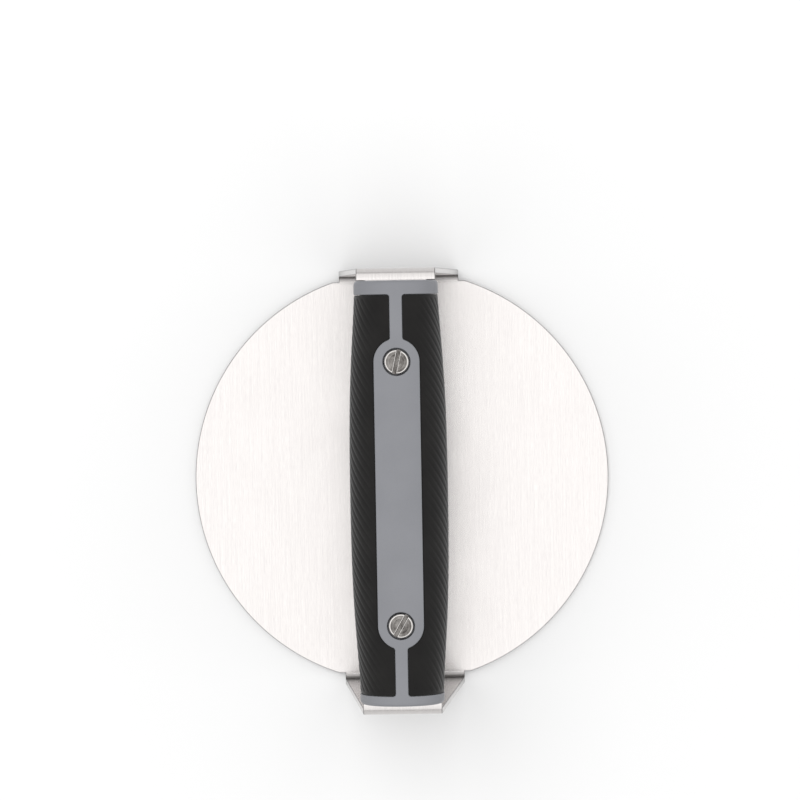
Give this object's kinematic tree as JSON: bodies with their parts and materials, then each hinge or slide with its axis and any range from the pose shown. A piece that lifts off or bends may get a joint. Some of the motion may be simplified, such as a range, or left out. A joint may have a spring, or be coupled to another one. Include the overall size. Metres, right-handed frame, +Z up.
{
  "type": "bacon press",
  "caption": "Round flat hand press of bent stainless sheet, for burgers and bacon, with two tapered legs and a ribbed soft-grip handle across the top.",
  "frame": {"origin": "centre of the pressing plate's underside", "axes": "+Z up, away from the food; Y along the handle, rear leg at +Y and front leg at -Y; X across the handle"},
  "size_m": [0.1524, 0.1524, 0.1126],
  "materials": {
    "brushed_sheet": "fine straight brushed grain along the handle's direction, satin",
    "grey_plastic": "satin moulded plastic",
    "black_grip": "soft matt rubber with fine slanting ribs",
    "screw_steel": "turned steel with ring marks, bright chamfer"
  },
  "bodies": {
    "root": {"press_plate": "brushed_sheet", "handle_top_half": "grey_plastic", "top_grip_left": "black_grip", "top_grip_right": "black_grip", "handle_bottom_half": "grey_plastic", "bottom_grip_left": "black_grip", "bottom_grip_right": "black_grip", "screw_front": "screw_steel", "screw_rear": "screw_steel", "barrel_nut_front": "screw_steel", "barrel_nut_rear": "screw_steel"}
  },
  "joints": []
}
